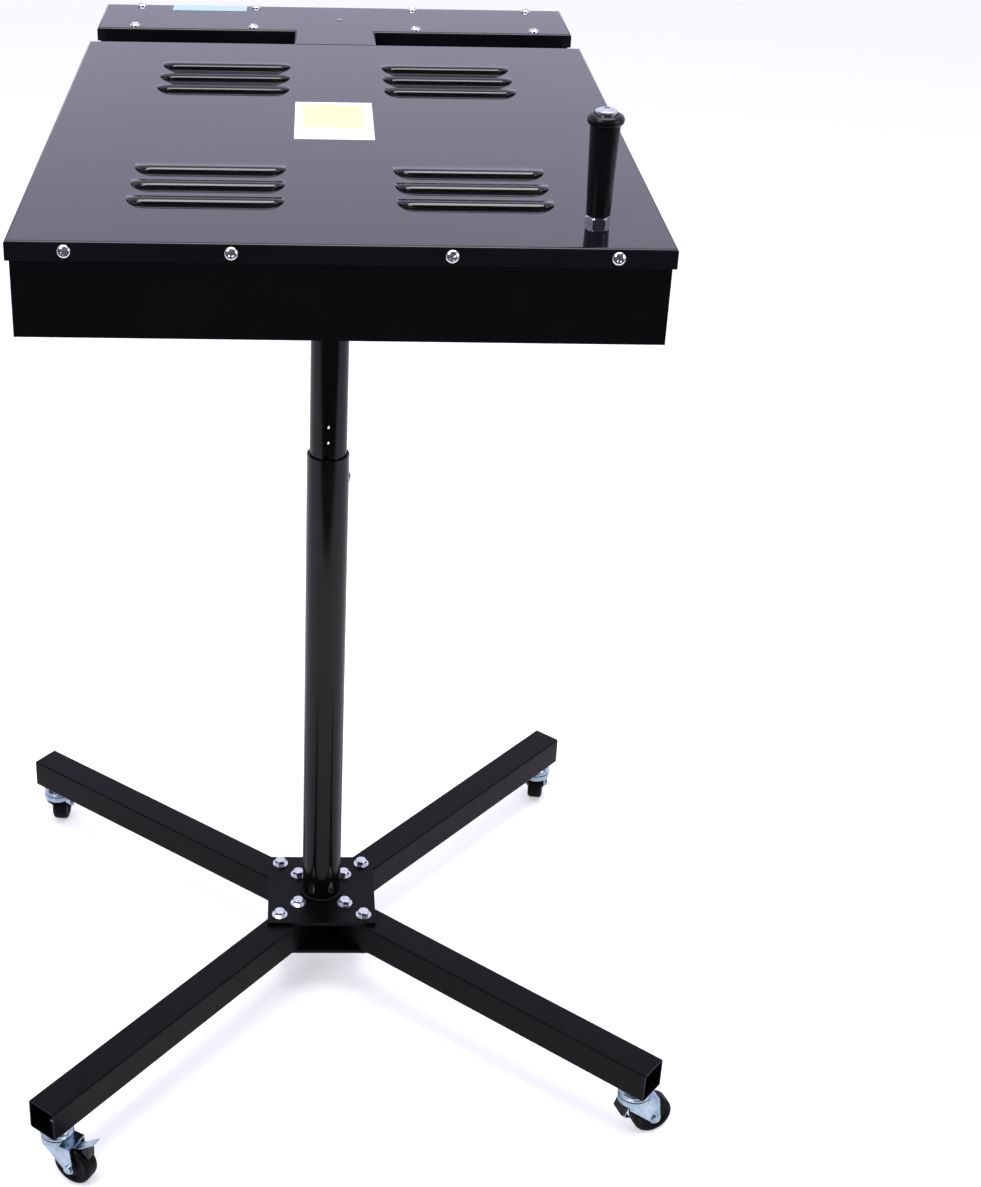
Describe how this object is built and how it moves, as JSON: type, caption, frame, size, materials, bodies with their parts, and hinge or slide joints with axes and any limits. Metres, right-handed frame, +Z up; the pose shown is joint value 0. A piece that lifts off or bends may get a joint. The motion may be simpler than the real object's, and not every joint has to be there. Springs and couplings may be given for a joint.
{
  "type": "screen printing flash dryer",
  "caption": "Flat infrared heater head with a louvred cover and a control box, swivelling on a telescopic post over a cross of tube legs on swivel casters.",
  "frame": {"origin": "on the floor, on the post's axis", "axes": "+X to the right as seen from the handle's end, +Y from the heater head towards the control box, +Z up along the post"},
  "size_m": [0.8405, 1.0916, 1.3325],
  "materials": {
    "stand_paint": "satin black powder paint on steel tube and plate",
    "post_paint": "semi-gloss black paint on round tube",
    "case_paint": "semi-gloss black powder paint on sheet steel",
    "cover_enamel": "gloss black enamel on sheet steel",
    "zinc_fasteners": "bright zinc plate",
    "rivet_metal": "plain aluminium",
    "zinc_caster": "bluish zinc plate on pressed steel",
    "wheel_tread": "moulded dark rubber",
    "nylon": "plain nylon",
    "knob_plastic": "moulded black plastic",
    "grip_plastic": "satin black moulded grip",
    "switch_plastic": "moulded black plastic",
    "rocker_red": "translucent red plastic",
    "lamp_lens": "ribbed amber-red lens",
    "thermostat_shell": "plain pressed metal",
    "terminal_plastic": "cream moulded plastic",
    "lead_sleeve": "silicone sleeve over wire",
    "grommet_rubber": "black rubber",
    "ceramic_fibre": "pale ceramic fibre board",
    "polished_aluminium": "polished aluminium sheet",
    "rail_steel": "galvanised steel strip",
    "quartz": "clear fused quartz",
    "ceramic": "unglazed white ceramic",
    "guard_wire": "bright plated wire",
    "blank_label": "blank plastic film label"
  },
  "bodies": {
    "stand": {"hub_top_plate": "stand_paint", "hub_bottom_plate": "stand_paint", "leg_front_left": "stand_paint", "leg_front_right": "stand_paint", "leg_rear_right": "stand_paint", "leg_rear_left": "stand_paint", "hub_bolts": "zinc_fasteners", "hub_nuts": "zinc_fasteners", "outer_tube": "post_paint", "post_weld": "stand_paint", "guide_bush": "nylon", "caster_stems": "zinc_caster", "stem_nuts": "zinc_fasteners"},
    "clamp": {"lock_screw": "zinc_fasteners", "lock_knob": "knob_plastic"},
    "column": {"inner_tube": "post_paint", "slide_bush": "nylon", "tube_plug": "zinc_fasteners"},
    "head": {"heater_case": "case_paint", "top_cover": "cover_enamel", "control_case": "case_paint", "control_lid": "cover_enamel", "neck_duct": "case_paint", "saddle": "post_paint", "saddle_bolts": "zinc_fasteners", "thrust_washer": "nylon", "swivel_bolt": "zinc_fasteners", "case_screws": "zinc_fasteners", "lid_rivet": "rivet_metal", "blank_labels": "blank_label", "insulation_board": "ceramic_fibre", "reflector": "polished_aluminium", "heater_tubes": "quartz", "ceramic_ends": "ceramic", "heater_rails": "rail_steel", "wire_guard": "guard_wire", "guard_cross_wires": "guard_wire", "terminal_block": "terminal_plastic", "lead_wires": "lead_sleeve", "grommets": "grommet_rubber", "switch_body": "switch_plastic", "thermostat": "thermostat_shell", "pilot_lamp": "lamp_lens", "cable_gland": "switch_plastic", "handle_bolt": "zinc_fasteners", "handle_nuts": "zinc_fasteners"},
    "grip": {"handle_grip": "grip_plastic"},
    "rocker": {"switch_rocker": "rocker_red"},
    "dial": {"temperature_dial": "knob_plastic"},
    "caster_front_left": {"fork_front_left": "zinc_caster"},
    "roller_front_left": {"wheel_front_left": "wheel_tread"},
    "pedal_front_left": {"brake_front_left": "zinc_caster"},
    "caster_front_right": {"fork_front_right": "zinc_caster"},
    "roller_front_right": {"wheel_front_right": "wheel_tread"},
    "pedal_front_right": {"brake_front_right": "zinc_caster"},
    "caster_rear_right": {"fork_rear_right": "zinc_caster"},
    "roller_rear_right": {"wheel_rear_right": "wheel_tread"},
    "caster_rear_left": {"fork_rear_left": "zinc_caster"},
    "roller_rear_left": {"wheel_rear_left": "wheel_tread"}
  },
  "joints": [
    {"name": "clamp_turn", "type": "hinge", "parent": "stand", "child": "clamp", "pos_m": [0.00609, 0.04963, 0.6976], "axis": [0.1219, 0.9925, 0], "range_deg": [0, 360]},
    {"name": "column_slide", "type": "slide", "parent": "stand", "child": "column", "axis": [0, 0, 1], "range_m": [-0.1, 0.12]},
    {"name": "head_swivel", "type": "hinge", "parent": "column", "child": "head", "pos_m": [0, 0, 1.1584], "axis": [0, 0, 1], "continuous": true},
    {"name": "grip_spin", "type": "hinge", "parent": "head", "child": "grip", "pos_m": [0.2, -0.61, 1.288], "axis": [0, 0, 1], "continuous": true},
    {"name": "rocker_tilt", "type": "hinge", "parent": "head", "child": "rocker", "pos_m": [-0.04, 0.126, 1.20145], "axis": [1, 0, 0], "range_deg": [0, 22]},
    {"name": "dial_turn", "type": "hinge", "parent": "head", "child": "dial", "pos_m": [0.09, 0.126, 1.20145], "axis": [0, 1, 0], "range_deg": [0, 270]},
    {"name": "swivel_front_left", "type": "hinge", "parent": "stand", "child": "caster_front_left", "pos_m": [-0.30672, -0.38149, 0.058], "axis": [0, 0, 1], "continuous": true},
    {"name": "roll_front_left", "type": "hinge", "parent": "caster_front_left", "child": "roller_front_left", "pos_m": [-0.28551, -0.39374, 0.025], "axis": [0.5, 0.866, 0], "continuous": true},
    {"name": "brake_press_front_left", "type": "hinge", "parent": "caster_front_left", "child": "pedal_front_left", "pos_m": [-0.28551, -0.39374, 0.05185], "axis": [0.5, 0.866, 0], "range_deg": [0, 10]},
    {"name": "swivel_front_right", "type": "hinge", "parent": "stand", "child": "caster_front_right", "pos_m": [0.37553, -0.31399, 0.058], "axis": [0, 0, 1], "continuous": true},
    {"name": "roll_front_right", "type": "hinge", "parent": "caster_front_right", "child": "roller_front_right", "pos_m": [0.39869, -0.30601, 0.025], "axis": [-0.3256, 0.9455, 0], "continuous": true},
    {"name": "brake_press_front_right", "type": "hinge", "parent": "caster_front_right", "child": "pedal_front_right", "pos_m": [0.36702, -0.31692, 0.0502], "axis": [0.3256, -0.9455, 0], "range_deg": [0, 22]},
    {"name": "swivel_rear_right", "type": "hinge", "parent": "stand", "child": "caster_rear_right", "pos_m": [0.32499, 0.36605, 0.058], "axis": [0, 0, 1], "continuous": true},
    {"name": "roll_rear_right", "type": "hinge", "parent": "caster_rear_right", "child": "roller_rear_right", "pos_m": [0.32925, 0.39017, 0.025], "axis": [-0.9848, 0.1736, 0], "continuous": true},
    {"name": "swivel_rear_left", "type": "hinge", "parent": "stand", "child": "caster_rear_left", "pos_m": [-0.38573, 0.30137, 0.058], "axis": [0, 0, 1], "continuous": true},
    {"name": "roll_rear_left", "type": "hinge", "parent": "caster_rear_left", "child": "roller_rear_left", "pos_m": [-0.38402, 0.32581, 0.025], "axis": [-0.9976, 0.0698, 0], "continuous": true}
  ]
}
